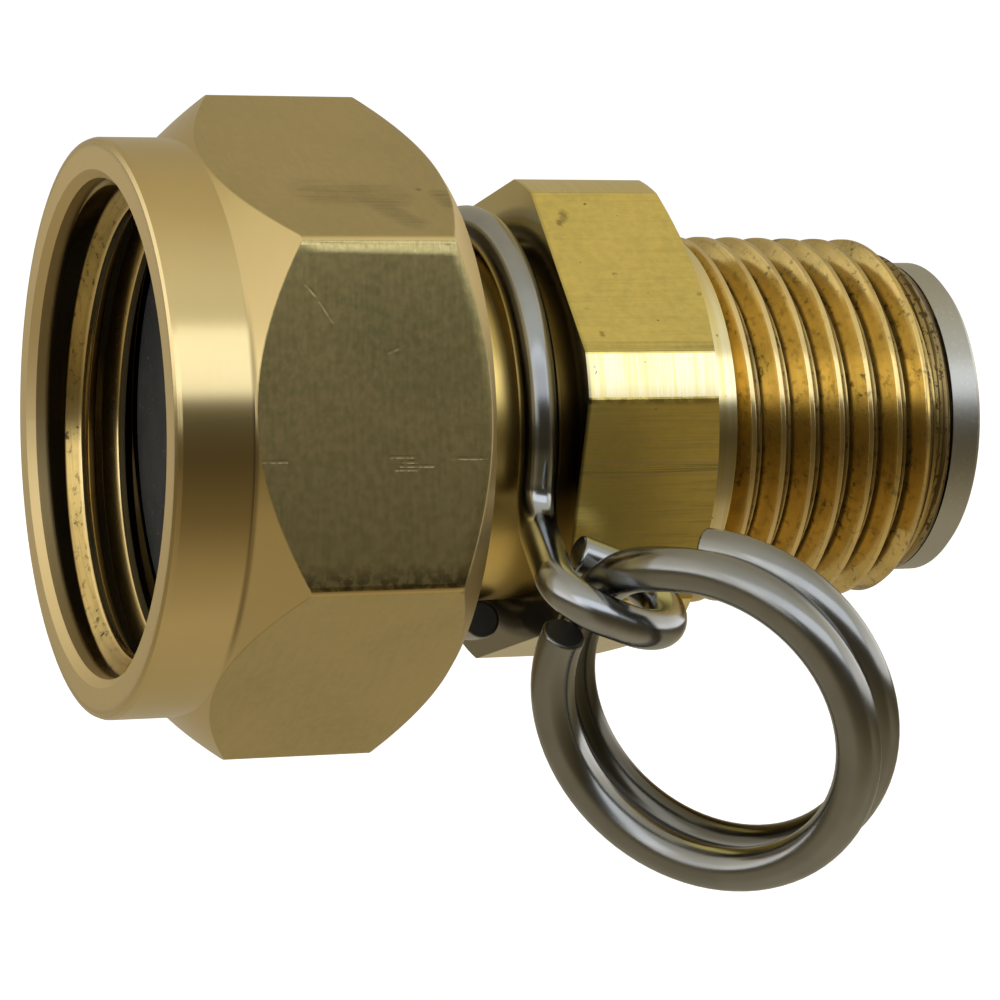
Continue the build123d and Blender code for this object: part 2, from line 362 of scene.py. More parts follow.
class Finish(Nodes):
    """A procedural material under construction."""

    def __init__(self, name, **constants):
        self.material = bpy.data.materials.new(name)
        self.material.use_nodes = True
        super().__init__(self.material.node_tree)
        self.tree.nodes.clear()
        surface = self.add("ShaderNodeBsdfPrincipled", None, constants)
        self.surface = surface.socket.node
        self.add("ShaderNodeOutputMaterial", None, {"Surface": surface})
        self.place = self.add("ShaderNodeTexCoord", output="Object")
        self.x, self.y, self.z = self.split(self.place)
        self.radius = (self.y * self.y + self.z * self.z).root()

    def noise(self, scale, detail, roughness):
        """A cloudy pattern from 0 to 1. Three scales stretch it along the axes."""
        vector = self.place
        if isinstance(scale, tuple):
            vector = self.add("ShaderNodeMapping", None, {"Vector": vector, "Scale": scale})
            scale = 1.0
        terms = {"Vector": vector, "Scale": scale, "Detail": detail, "Roughness": roughness}
        return self.add("ShaderNodeTexNoise", None, terms)

    def mix(self, factor, first, second):
        """Colour mix. Colours are plain triples or links."""
        first, second = (c if isinstance(c, Link) else rgba(c) for c in (first, second))
        terms = {0: factor, 6: first, 7: second}
        return self.add("ShaderNodeMix", {"data_type": "RGBA"}, terms, output=2)

    def vector(self, operation, first, second, output=0):
        """Vector maths on two vectors. Output 1 is for operations that give a number."""
        terms = {0: first, 1: second}
        return self.add("ShaderNodeVectorMath", {"operation": operation}, terms, output)

    def set(self, **inputs):
        """Sets or links the shader's sockets, named with underscores in lower case."""
        for name, value in inputs.items():
            self.fill(self.surface.inputs[name.replace("_", " ").title()], value)

    def relief(self, height, depth):
        """Bumps the surface by height, a pattern from 0 to 1, times depth."""
        self.set(normal=self.add("ShaderNodeBump", None, {"Height": height, "Distance": depth}))

    def reach(self, angle):
        """How far out from the axis a point lies in one direction."""
        return self.y * cos(angle) + self.z * sin(angle)

    def aside(self, angle):
        """How far a point lies to the side of that direction."""
        return self.z * cos(angle) - self.y * sin(angle)

    def hex_flats(self, across_flats, turn):
        """1 on the six flats of a hex about X and 0 inside them."""
        widest = greatest_of([abs(self.reach(turn + side * pi / 3)) for side in range(3)])
        return (widest - across_flats / 2).ease(*FLAT_EDGE)

    def on_flat(self, across_flats, turn, flat):
        """1 on one flat of a hex about X, counted from the front, and the place on that flat."""
        angle = pi + turn + flat * pi / 3
        spot = self.add("ShaderNodeCombineXYZ", None, {"X": self.x, "Y": self.aside(angle)})
        return (self.reach(angle) - across_flats / 2).ease(*FLAT_EDGE), spot

    def strokes(self, spot, lines, width):
        """Thin straight marks on a flat, each from one place in millimetres to another."""
        marks = []
        for line in lines:
            start, end = (Vector((*point, 0.0)) * MM for point in line)
            run = end - start
            away = self.vector("SUBTRACT", spot, start)
            along = self.vector("DOT_PRODUCT", away, run, output=1) / run.length_squared
            terms = {0: tuple(run), "Scale": along.clipped()}
            nearest = self.add("ShaderNodeVectorMath", {"operation": "SCALE"}, terms)
            distance = self.vector("DISTANCE", away, nearest, output=1)
            marks.append(distance.ease(width, width * 0.3))
        return greatest_of(marks)


# ---- finishes ----
#
# Plain numbers from 0 to 1 here are shares: of a colour in a mix, of roughness, or of a noise's
# range. Scales of a noise are per metre.


NUT_ACROSS_FLATS = 31.9 * MM
NUT_TURN = radians(-4.3)
BODY_ACROSS_FLATS = 25.4 * MM
BODY_TURN = radians(17.5)
TOOL_MARK_DEPTH = 0.004 * MM
WIRE_GRAIN_DEPTH = 0.0012 * MM
RUBBER_GRAIN_DEPTH = 0.02 * MM
SCRATCH_WIDTH = 0.1 * MM


def turned_lines(finish, scale=9000.0):
    """Fine lathe lines round the X axis."""
    return finish.noise((scale, 90.0, 90.0), 3.0, 0.6)


def drawn_lines(finish, scale=5000.0):
    """Fine lines along the bar the piece was drawn as."""
    return finish.noise((120.0, scale, scale), 3.0, 0.6)


# The cone of the nut's rear chamfer: radius lost per length, and radius where it would meet x = 0.
# How deep under it the metal is pale, and rubbed round.
REAR_CHAMFER_SLOPE = 1.2995
REAR_CHAMFER_FOOT = 38.32 * MM
REAR_CHAMFER_DEPTH = mm(0.12, 0.04)
REAR_EDGE_DEPTH = 0.8 * MM
# The mouth: its edge along the axis, its rim's radius, and how deep behind the bore its dirt and
# painted shade go.
MOUTH_EDGE = mm(0.9, 1.3)
RIM_RADIUS = mm(15.6, 15.2)
BORE_DEPTH = mm(0.15, 0.05)
# The painted shadow line at the foot of the collar, along the axis and up and down.
COLLAR_FOOT = mm(4.0, 4.2, 4.25, 4.45)
COLLAR_FOOT_HEIGHT = mm(-13.0, -9.0, 3.0, 8.0)
# The round faces are paler below this height than towards the top.
PALER_BELOW_HEIGHT = mm(15.0, 8.0)
# Across the front flat: its darker lower edge and its rubbed top edge, which leans along the axis,
# wavers with the grain and starts behind the collar.
DARK_LOWER_EDGE = mm(7.4, 8.9)
TOP_EDGE = 8.62 * MM
TOP_EDGE_WIDTH = 0.6 * MM
TOP_EDGE_LEAN = 0.02
TOP_EDGE_WAVER = 0.2 * MM
TOP_EDGE_START = mm(6.2, 8.6)
TOP_EDGE_REACH = mm(10.0, 14.0)
# Marks on the nut's flats: along the axis and across the flat, in millimetres.
FRONT_SCRATCHES = (
    ((11.5, 2.18), (12.8, 2.2)),
    ((12.0, 2.66), (13.8, 2.69)),
    ((14.9, 2.31), (16.8, 2.35)),
    ((4.6, 2.31), (5.8, 2.33)),
    ((7.1, -6.75), (7.6, -6.2)),
    ((7.8, -5.9), (8.5, -4.85)),
    ((11.5, -3.22), (12.4, -3.58)),
    ((12.2, 2.45), (12.9, 2.46)),
    ((11.7, 2.84), (12.9, 2.86)),
)
FRONT_CORNER = ((12.4, -5.4), (15.2, -4.4))
FRONT_CORNER_WIDTH = 5.5 * MM
# The same with the mark's width after its two ends.
UPPER_SMUDGES = (
    ((9.6, 3.7), (13.0, 4.2), 2.1),
    ((12.6, 5.6), (13.6, 7.4), 1.1),
    ((16.4, 4.0), (16.6, 5.0), 1.0),
)
UPPER_PIT = (15.27, 3.31)
UPPER_PIT_WIDTH = 0.25 * MM


def nut_brass(brass):
    """Satin turned brass, its flats filmed over, scratched, and rounded off along two edges."""
    finish = Finish("nut_brass", Metallic=1.0)
    flats = finish.hex_flats(NUT_ACROSS_FLATS, NUT_TURN)
    front, spot = finish.on_flat(NUT_ACROSS_FLATS, NUT_TURN, 0)
    across = finish.split(spot)[1]
    inside, groove, rim = nut_mouth(finish)
    chamfer = under_rear_chamfer(finish).ease(*REAR_CHAMFER_DEPTH)
    grain = finish.noise((4600.0, 560.0, 560.0), 4.0, 0.75)
    blotch = finish.noise(2100.0, 4.0, 0.7)
    cloud = finish.noise(110.0, 3.0, 0.55)
    mottle = grain.ease(0.36, 0.64) * 0.2 + blotch.ease(0.34, 0.66) * 0.22
    corner = finish.strokes(spot, [FRONT_CORNER], FRONT_CORNER_WIDTH)
    film = flats * (0.2 + mottle * 0.3) + cloud.ease(0.3, 0.75) * brass.film_amount * 0.4
    film = film + front * (mottle * 0.75 + corner * 0.16) + (1 - flats) * mottle * 0.1
    # The front flat darkens towards its lower edge.
    dark_lower_edge = front * across.ease(*DARK_LOWER_EDGE) * (0.2 + blotch.ease(0.4, 0.6) * 0.45)
    scratch = front * finish.strokes(spot, FRONT_SCRATCHES, SCRATCH_WIDTH) * grain.ease(0.35, 0.6)
    dark = nut_smudges(finish)
    rubbed = (1 - flats) * (0.1 + finish.z.ease(*PALER_BELOW_HEIGHT) * 0.28)
    tone = finish.mix(film.least(0.9), brass.nut, brass.film)
    tone = finish.mix(rubbed, tone, brass.crest)
    # Real smudges, the darker lower edge of the front flat, the painted shadow line at the collar's
    # foot, and dirt and painted shade in the bore.
    dirt_and_shade = dark + dark_lower_edge + inside * 0.85 + groove * 0.5
    tone = finish.mix(dirt_and_shade.least(0.95), tone, brass.dirt_and_shade)
    tone = finish.mix(scratch * 0.36 + rim * 0.5 + chamfer * 0.35, tone, brass.crest)
    roughness = brass.roughness + flats * (0.03 + grain * 0.06) + dark * 0.15
    finish.set(base_color=tone, roughness=roughness + rim * 0.3 + chamfer * 0.25)
    lines = turned_lines(finish) * (1 - flats) + (grain * 0.6 + blotch * 0.4) * flats
    finish.relief(lines - scratch - worn_edges(finish, grain) * 16, TOOL_MARK_DEPTH)
    return finish.material


def nut_mouth(finish):
    """Where the nut's bore, the foot of its collar and the mouth's rim are, each 0 to 1."""
    bore = mount_radius("hose_inlet")
    behind = finish.x.ease(*MOUTH_EDGE)
    # The bore's wall behind the mouth: dirt and painted shade.
    inside = (finish.radius - bore).ease(*BORE_DEPTH) * behind
    # Painted shadow line at the collar's foot, where a small step is not modelled.
    groove = finish.x.between(*COLLAR_FOOT) * finish.z.between(*COLLAR_FOOT_HEIGHT)
    rim = (1 - behind) * finish.radius.ease(*RIM_RADIUS)
    return inside, groove * (1 - inside), rim


def under_rear_chamfer(finish):
    """How far inside the cone of the nut's rear chamfer a point lies."""
    return REAR_CHAMFER_FOOT - finish.radius - finish.x * REAR_CHAMFER_SLOPE


def worn_edges(finish, grain):
    """How far the front flat's top edge and the rear chamfer's edge are rubbed round, 0 to 1."""
    angle = pi + NUT_TURN
    waver = finish.x * TOP_EDGE_LEAN + grain * TOP_EDGE_WAVER
    top = ((waver - finish.aside(angle) - TOP_EDGE) / TOP_EDGE_WIDTH).clipped()
    top = top * top * finish.reach(angle).ease(*TOP_EDGE_REACH) * finish.x.ease(*TOP_EDGE_START)
    rear = (1 - under_rear_chamfer(finish) / REAR_EDGE_DEPTH).clipped()
    return top * (1 - rear) + rear * rear


def nut_smudges(finish):
    """Dark handling smudges and a pit on the flat above the front one."""
    upper, spot = finish.on_flat(NUT_ACROSS_FLATS, NUT_TURN, -1)
    pit = finish.strokes(spot, [(UPPER_PIT, UPPER_PIT)], UPPER_PIT_WIDTH)
    smudge = greatest_of(
        [finish.strokes(spot, [(start, end)], width * MM) for start, end, width in UPPER_SMUDGES]
    )
    streak = finish.noise((150.0, 3800.0, 3800.0), 3.0, 0.6).ease(0.4, 0.6)
    patches = finish.noise(620.0, 2.0, 0.5).ease(0.35, 0.65)
    return upper * (smudge * (0.08 + streak * 0.15 + patches * 0.1) + pit * 0.45)


# The hex body along the axis: where its hex ends, and where the thread's core starts.
HEX_END = 31.83 * MM
CORE_START = 33.7 * MM
# Across the front flat: its scored band and its dark upper edge. The upper flat has a lower strip.
SCORED_BAND = mm(-2.4, -2.2, -1.65, -1.4)
DARK_EDGE = mm(-5.45, -5.75)
LOWER_STRIP = mm(5.0, 5.2)
# Up and down: the stain on the shoulder, where the turned corners grow less pale towards the top,
# and where the rear face's painted shade thins out. Along the axis: how far that painted shade
# goes.
SHOULDER_STAIN = mm(-4.6, -3.6, -0.6, 0.6)
LESS_PALE_TOP = mm(11.0, 12.4)
REAR_SHADE_TOP = mm(0.0, 6.0)
REAR_FACE_SHADE = mm(0.25, 0.05)
# Marks on the hex body's flats: along the axis and across the flat, in millimetres.
PALE_LINES = (
    ((24.0, -2.26), (31.6, -2.12)),
    ((24.0, -1.4), (31.6, -1.5)),
    ((26.4, -3.5), (27.4, -3.5)),
)
# The same with the mark's width after its two ends.
UPPER_SPECKS = (
    ((24.65, -3.5), (25.05, -4.3), 0.4),
    ((26.8, 0.29), (26.8, 0.3), 0.25),
    ((24.83, 4.5), (24.85, 4.6), 0.22),
    ((31.4, 1.7), (31.5, 1.7), 0.2),
    ((24.4, 2.6), (24.5, 2.7), 0.2),
)


def body_brass(brass):
    """Brighter drawn hex brass, its turned corners and shoulder paler and scored round."""
    finish = Finish("body_brass", Metallic=1.0)
    flats = finish.hex_flats(BODY_ACROSS_FLATS, BODY_TURN)
    front, spot = finish.on_flat(BODY_ACROSS_FLATS, BODY_TURN, 0)
    across = finish.split(spot)[1]
    streak = finish.noise((3000.0, 70.0, 70.0), 3.0, 0.7)
    blotch = finish.noise(1700.0, 4.0, 0.7)
    cloud = finish.noise(260.0, 4.0, 0.6)
    fine = drawn_lines(finish, 8200.0)
    lathe = turned_lines(finish, 5200.0)
    band = front * across.between(*SCORED_BAND)
    score = drawn_lines(finish, 3400.0).ease(0.5, 0.64) * (flats * 0.12 + front * 0.15)
    score = score + fine.ease(0.42, 0.58) * (front * 0.12 + band * 0.6)
    specks, strip = upper_flat_marks(finish, blotch)
    film = cloud.ease(0.35, 0.8) * brass.film_amount * 0.35
    film = film + blotch.ease(0.35, 0.65) * (0.16 - front * 0.1)
    film = (film + score * 0.7 + strip * (0.08 + fine.ease(0.4, 0.6) * 0.25)) * flats
    core = finish.x.ease(CORE_START, CORE_START + 0.1 * MM)
    turned = (1 - flats) * (0.28 + streak.ease(0.35, 0.65) * 0.55)
    # The turned corners are less pale towards the top.
    turned = turned * (1 - finish.z.ease(*LESS_PALE_TOP) * 0.5)
    pale = front * finish.strokes(spot, PALE_LINES, SCRATCH_WIDTH) * fine.ease(0.7, 0.4)
    # Painted light: the front flat gets a lighter copy of the body colour.
    tone = finish.mix(front * 0.8, brass.body, scaled(brass.body, 1.35))
    tone = finish.mix(film.least(0.95), tone, brass.film)
    tone = finish.mix(turned * (1 - core), tone, brass.turned)
    tone = finish.mix(core, tone, brass.cut)
    tone = finish.mix(pale * 0.6, tone, brass.crest)
    rear = (finish.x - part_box("hex_body")[0].x).ease(*REAR_FACE_SHADE)
    edge = front * across.ease(*DARK_EDGE) * (0.1 + blotch.ease(0.4, 0.6) * 0.35)
    stain = finish.x.ease(HEX_END - 0.05 * MM, HEX_END + 0.1 * MM) * (1 - core)
    stain = stain * finish.z.between(*SHOULDER_STAIN)
    # Real specks, painted shade on the rear face that thins towards the top, the darker upper edge
    # of the front flat, the shoulder's stain, and dirt and painted shade on the thread's core.
    dirt_and_shade = specks * 0.6 + rear * (0.75 - finish.z.ease(*REAR_SHADE_TOP) * 0.55) + edge
    dirt_and_shade = dirt_and_shade + stain * (0.12 + streak * 0.25) + core * (0.3 + lathe.ease(0.45, 0.6) * 0.4)
    tone = finish.mix(dirt_and_shade.least(0.95), tone, brass.dirt_and_shade)
    roughness = brass.roughness + front * 0.1 + score * 0.15 + specks * 0.2
    finish.set(base_color=tone, roughness=roughness)
    lines = drawn_lines(finish) * flats + lathe * (1 - flats)
    finish.relief(lines - score * 0.5, TOOL_MARK_DEPTH)
    return finish.material


def upper_flat_marks(finish, blotch):
    """Specks all over the body, with those placed on its upper flat, and that flat's strip."""
    upper, spot = finish.on_flat(BODY_ACROSS_FLATS, BODY_TURN, -1)
    specks = finish.noise(2100.0, 2.0, 0.5).ease(0.73, 0.78)
    for start, end, width in UPPER_SPECKS:
        speck = upper * finish.strokes(spot, [(start, end)], width * MM)
        specks = specks.greatest(speck * blotch.ease(0.35, 0.6) * 0.8)
    return specks, upper * finish.split(spot)[1].ease(*LOWER_STRIP)


# The outlet thread's last turns, along the axis, and where its top is filmed, up and down.
LAST_TURNS = mm(45.9, 46.6)
FILMED_TOP = mm(6.0, 10.0)


def thread_brass(name, brass, root, crest, ridge_darkening, painted_flank_shade):
    """Cut thread: pale rubbed crests, golden flanks, dirt and painted shade in the roots, painted
    shade on +X flanks.
    """
    finish = Finish(name, Metallic=1.0)
    level = (finish.radius - root) / (crest - root)
    lathe = turned_lines(finish, 6000.0)
    specks = finish.noise((2600.0, 1900.0, 1900.0), 4.0, 0.65).ease(0.54, 0.66)
    patches = finish.noise(420.0, 3.0, 0.6).ease(0.45, 0.7)
    away = finish.split(finish.add("ShaderNodeTexCoord", output="Normal"))[0].ease(0.3, 0.7)
    rubbed = level.ease(0.8, 0.97)
    low = level.ease(0.18, 0.0)
    last = finish.x.ease(*LAST_TURNS)
    lines = lathe.ease(0.48, 0.6) * (0.1 + last * 0.3)
    # Dirt and painted shade in the roots; painted shade on the flanks that face +X.
    dirt_and_shade = low * 0.6 + specks * (0.3 + patches * 0.4 + last * 0.3) + lines + away * painted_flank_shade
    dirt_and_shade = dirt_and_shade * (1 - rubbed * 0.9)
    film = patches * 0.25 + finish.z.ease(*FILMED_TOP) * 0.25
    tone = finish.mix(film, brass.cut, brass.film)
    tone = finish.mix(rubbed * 0.6, tone, brass.crest)
    # The ridge below its crests is darkened by the given share.
    tone = finish.mix((dirt_and_shade + ridge_darkening * (1 - rubbed)).least(0.92), tone, brass.dirt_and_shade)
    finish.set(base_color=tone, roughness=brass.roughness + dirt_and_shade * 0.25)
    finish.relief(lathe, TOOL_MARK_DEPTH)
    return finish.material


# The shade where the stem goes into the body: along the axis from the body, and up and down.
STEM_SHADE = mm(-2.0, -0.9)
STEM_SHADE_HEIGHT = mm(-8.0, -4.0)


def stem_brass(brass):
    """Turned brass of the stem, with a light film, and painted shade where it goes into the body.
    """
    finish = Finish("stem_brass", Metallic=1.0)
    cloud = finish.noise(200.0, 3.0, 0.55)
    tone = finish.mix(0.12 + cloud.ease(0.3, 0.7) * 0.2, brass.neck, brass.film)
    shade = (finish.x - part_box("hex_body")[0].x).ease(*STEM_SHADE)
    shade = shade * finish.z.ease(*STEM_SHADE_HEIGHT)
    tone = finish.mix(shade * 0.75, tone, brass.dirt_and_shade)
    finish.set(base_color=tone, roughness=brass.roughness + 0.08 + cloud * 0.1)
    finish.relief(turned_lines(finish, 7000.0), TOOL_MARK_DEPTH)
    return finish.material


# A wire's cut end: the least area of its plane face, how far in it is dark, and how far out.
CUT_END_AREA = 1.2 * MM**2
CUT_END_DEPTH = mm(0.14, 0.02)
CUT_END_REACH = mm(1.3, 1.2)


def cut_ends(node):
    """Middle and direction of each flat end of a wire: the only large plane faces it has."""
    areas = {}
    for face in frame["nodes"][node].data.polygons:
        offset = face.normal.dot(face.center)
        key = (*(round(part, 3) for part in face.normal), round(offset / MM, 2))
        area, moment, normal = areas.get(key, (0.0, Vector(), face.normal.copy()))
        areas[key] = (area + face.area, moment + face.center * face.area, normal)
    ends = (end for end in areas.values() if end[0] > CUT_END_AREA)
    return [(moment / area, normal) for area, moment, normal in ends]


# Square across the split ring's turns, towards the one behind. That turn's place this way, and the
# radius inside which it gets painted shade.
RING_NORMAL = (0.712, 0.607, 0.352)
BACK_TURN = mm(-0.1, 0.4)
RING_INSIDE = mm(8.95, 8.5)
# The painted shade that dulls the highlight on the hook's leg: along the axis from the hook's
# start, out, and up and down.
LEG_SIDE = mm(3.05, 2.65)
LEG_OUT = mm(-3.0, -6.0)
LEG_HEIGHT = mm(-1.5, -0.7, 3.0, 5.2)


def ring_painted_shade(finish):
    """How strongly painted brown shade darkens the inside of the ring's back turn, 0 to 1."""
    low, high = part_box("split_ring")
    away = finish.vector("SUBTRACT", finish.place, (low + high) / 2)
    across = finish.vector("CROSS_PRODUCT", away, RING_NORMAL)
    back = finish.vector("DOT_PRODUCT", away, RING_NORMAL, output=1).ease(*BACK_TURN)
    return back * finish.vector("LENGTH", across, across, output=1).ease(*RING_INSIDE) * 0.8


def hook_painted_shade(finish):
    """How strongly painted brown shade dulls the hook's leg on the side next to the nut, 0 to 1."""
    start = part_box("hook_wire")[0].x
    side = (finish.x - start).ease(*LEG_SIDE) * finish.y.ease(*LEG_OUT)
    return side * finish.z.between(*LEG_HEIGHT) * 0.45


def wire_steel(name, node, steel, tint, roughness, painted_shade):
    """Drawn and tumbled stainless wire. Its end nearest the nut is sheared and dark."""
    finish = Finish(name, Metallic=1.0)
    grain = finish.noise(2600.0, 3.0, 0.6)
    dull = finish.noise(350.0, 2.0, 0.5).ease(0.35, 0.75)
    middle, direction = min(cut_ends(node), key=lambda end: end[0].x)
    away = finish.vector("SUBTRACT", finish.place, middle)
    depth = abs(finish.vector("DOT_PRODUCT", away, direction, output=1))
    distance = finish.vector("LENGTH", away, away, output=1)
    end = depth.ease(*CUT_END_DEPTH) * distance.ease(*CUT_END_REACH)
    tone = finish.mix(dull * 0.35, tint, scaled(tint, 0.7))
    # Painted shade: brown where the given mask says, standing in for darker reflections.
    tone = finish.mix(painted_shade(finish), tone, steel.painted_shade)
    tone = finish.mix(end * 0.9, tone, steel.cut_end)
    finish.set(base_color=tone, roughness=roughness + dull * 0.08 + grain * 0.04 + end * 0.3)
    finish.relief(grain * (1 + end * 4), WIRE_GRAIN_DEPTH)
    return finish.material


def insert_steel(steel):
    """Matte turned stainless of the outlet insert."""
    finish = Finish("insert_steel", Metallic=1.0)
    grain = finish.noise(4200.0, 3.0, 0.6)
    lathe = turned_lines(finish, 8000.0)
    tone = finish.mix(grain.ease(0.55, 0.75) * 0.5, steel.sleeve, scaled(steel.sleeve, 1.35))
    finish.set(base_color=tone, roughness=steel.sleeve_roughness + grain * 0.1)
    finish.relief(lathe * 0.6 + grain * 0.4, TOOL_MARK_DEPTH)
    return finish.material


def rubber(name, base, speck):
    """Moulded rubber with a dusty, speckled skin."""
    finish = Finish(name, Metallic=0.0)
    grain = finish.noise(5200.0, 3.0, 0.6)
    specks = finish.noise(3200.0, 1.0, 0.5).ease(0.68, 0.8)
    dust = finish.noise(240.0, 3.0, 0.6).ease(0.35, 0.75)
    tone = finish.mix(specks * 0.55 + dust * 0.1, base, speck)
    finish.set(base_color=tone, roughness=0.72 + grain * 0.2)
    finish.relief(grain, RUBBER_GRAIN_DEPTH)
    return finish.material


def paper(name, tone, glow):
    """Plain matte paper that glows a little, so that it stays pale."""
    finish = Finish(name, Metallic=0.0, Roughness=0.9)
    fibre = finish.noise(900.0, 2.0, 0.5)
    finish.set(base_color=finish.mix(fibre, tone, scaled(tone, 0.97)))
    finish.set(emission_color=rgba(tone), emission_strength=glow)
    return finish.material


def dress(node, material):
    """Gives a CAD node's surfaces one material."""
    for slot in frame["nodes"][node].material_slots:
        slot.material = material


# ---- threads ----


THREAD_NUMBERS = (
    "Start, Travel, Pitch, Start Angle, Root Radius, End Radius, Depth, Facing, Crest Width, "
    "Base Width, Plinth Width, Root Lift, Bite, Edge Radius, Rise, Chamfer Start, Chamfer Slope, "
    "Last Place, Dents"
).split(", ")
THREAD_INPUTS = {
    **dict.fromkeys(THREAD_NUMBERS, "NodeSocketFloat"),
    "Steps per Turn": "NodeSocketInt",
    "Finish": "NodeSocketMaterial",
}
# How the ridge's section is turned about its path.
OUTWARDS = -pi / 2
INWARDS = pi / 2
# How deep a ridge is sunk into its metal.
BITE = 0.08 * MM
STEPS_PER_TURN = 160
# A chamfer that starts this far along is never reached.
NO_CHAMFER = 1.0


def ridge_tree():
    """Geometry Nodes that sweep a trapezoid ridge on a helix about X, tapered and chamfered."""
    tree = bpy.data.node_groups.new("thread_ridge", "GeometryNodeTree")
    tree.is_modifier = True
    for name, kind in THREAD_INPUTS.items():
        tree.interface.new_socket(name, in_out="INPUT", socket_type=kind)
    tree.interface.new_socket("Ridge", in_out="OUTPUT", socket_type="NodeSocketGeometry")
    nodes = Nodes(tree)
    sockets = nodes.add("NodeGroupInput").socket.node.outputs
    given = {name: Link(nodes, sockets[name]) for name in THREAD_INPUTS}
    helix = {
        "Resolution": given["Steps per Turn"],
        "Rotations": given["Travel"] / given["Pitch"],
        "Start Radius": given["Root Radius"],
        "End Radius": given["End Radius"],
        "Height": given["Travel"],
        "Reverse": True,
    }
    path = nodes.add("GeometryNodeCurveSpiral", None, helix)
    path = nodes.add("GeometryNodeSetCurveNormal", {"mode": "Z_UP"}, {"Curve": path})
    swept = {
        "Curve": path,
        "Profile Curve": ridge_section(nodes, given),
        "Scale": fade(nodes, given),
        "Fill Caps": True,
    }
    ridge = nodes.add("GeometryNodeCurveToMesh", None, swept)
    moved = {"Geometry": ridge, "Position": trimmed(nodes, given)}
    ridge = nodes.add("GeometryNodeSetPosition", None, moved)
    turn = nodes.add("ShaderNodeCombineXYZ", None, {"Z": given["Start Angle"]})
    ridge = nodes.add("GeometryNodeTransform", None, {"Geometry": ridge, "Rotation": turn})
    shift = nodes.add("ShaderNodeCombineXYZ", None, {"X": given["Start"]})
    lying = {"Geometry": ridge, "Translation": shift, "Rotation": (0.0, pi / 2, 0.0)}
    ridge = nodes.add("GeometryNodeTransform", None, lying)
    ridge = nodes.add("GeometryNodeSetShadeSmooth", None, {"Geometry": ridge})
    ridge = nodes.add("GeometryNodeRealizeInstances", None, {"Geometry": ridge})
    dressed = {"Geometry": ridge, "Material": given["Finish"]}
    ridge = nodes.add("GeometryNodeSetMaterial", None, dressed)
    nodes.add("NodeGroupOutput", None, {"Ridge": ridge})
    return tree


def ridge_section(nodes, given):
    """The ridge's rounded trapezoid on a low plinth that joins it to its neighbours."""
    root, bite, plinth = given["Root Lift"], given["Bite"], given["Plinth Width"]
    base, crest = given["Base Width"], given["Crest Width"]
    plinth = bar_section(nodes, plinth, plinth, 0.0 - bite, root)
    ridge = bar_section(nodes, base, crest, root - bite, given["Depth"])
    rounding = {"Curve": ridge, "Count": 3, "Radius": given["Edge Radius"]}
    ridge = nodes.add("GeometryNodeFilletCurve", {"mode": "POLY"}, rounding)
    both = nodes.add("GeometryNodeJoinGeometry")
    for part in (ridge, plinth):
        nodes.tree.links.new(part.socket, both.socket.node.inputs[0])
    turn = nodes.add("ShaderNodeCombineXYZ", None, {"Z": given["Facing"]})
    return nodes.add("GeometryNodeTransform", None, {"Geometry": both, "Rotation": turn})


def bar_section(nodes, base, top, low, high):
    """A symmetric trapezoid between two heights."""
    sizes = {"Height": high - low, "Bottom Width": base, "Top Width": top, "Offset": 0.0}
    bar = nodes.add("GeometryNodeCurvePrimitiveQuadrilateral", {"mode": "TRAPEZOID"}, sizes)
    lift = nodes.add("ShaderNodeCombineXYZ", None, {"Y": (high + low) / 2})
    return nodes.add("GeometryNodeTransform", None, {"Geometry": bar, "Translation": lift})


def fade(nodes, given):
    """The ridge's size along its path: it grows over the rise at each end."""
    along = nodes.add("GeometryNodeSplineParameter", output="Factor") * given["Travel"]
    end = given["Travel"] - along
    return along.ease(0.0, given["Rise"]) * end.ease(0.0, given["Rise"])


def trimmed(nodes, given):
    """The ridge's points, dented, kept under the end chamfer and before the last place."""
    place = nodes.add("GeometryNodeInputPosition")
    x, y, z = nodes.split(place)
    radius = (x * x + y * y).root()
    beyond = (z - given["Chamfer Start"]).greatest(0.0)
    limit = given["Root Radius"] + given["Depth"] - beyond * given["Chamfer Slope"]
    knocks = nodes.add("ShaderNodeTexNoise", None, {"Vector": place, "Scale": 420.0, "Detail": 3.0})
    proud = (radius - given["Root Radius"]).ease(0.0, given["Depth"])
    dented = radius - knocks.ease(0.56, 0.72) * given["Dents"] * proud
    kept = dented.least(limit) / radius
    parts = {"X": x * kept, "Y": y * kept, "Z": z.least(given["Last Place"])}
    return nodes.add("ShaderNodeCombineXYZ", None, parts)


def cut_thread(name, body, slot, sizes, **others):
    """Makes one thread's ridge as a plain mesh that moves with a body."""
    given = {
        "pitch": sizes.pitch,
        "start_angle": sizes.start_angle,
        "depth": sizes.depth,
        "crest_width": sizes.crest,
        "base_width": sizes.pitch - sizes.root_gap,
        "plinth_width": sizes.pitch,
        "bite": BITE,
        "steps_per_turn": STEPS_PER_TURN,
        **others,
    }
    tree = bpy.data.node_groups.get("thread_ridge") or ridge_tree()
    blank = put(name + "_blank", bpy.data.meshes.new(name + "_blank"))
    ridge = blank.modifiers.new("Ridge", "NODES")
    ridge.node_group = tree
    for item in tree.interface.items_tree:
        if item.in_out == "INPUT":
            ridge[item.identifier] = given[item.name.lower().replace(" ", "_")]
    blank.modifiers.new("Crisp Flanks", "WEIGHTED_NORMAL").keep_sharp = True
    graph = bpy.context.evaluated_depsgraph_get()
    mesh = bpy.data.meshes.new_from_object(blank.evaluated_get(graph), depsgraph=graph)
    bpy.data.objects.remove(blank)
    mesh.name = name
    if not mesh.polygons:
        raise RuntimeError(f"{name} came out empty")
    piece = put(name, mesh)
    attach(piece, body)


# ---- operators ----


class Step:
    """What the operators share: they show in the history and can be undone."""

    bl_options = {"REGISTER", "UNDO"}


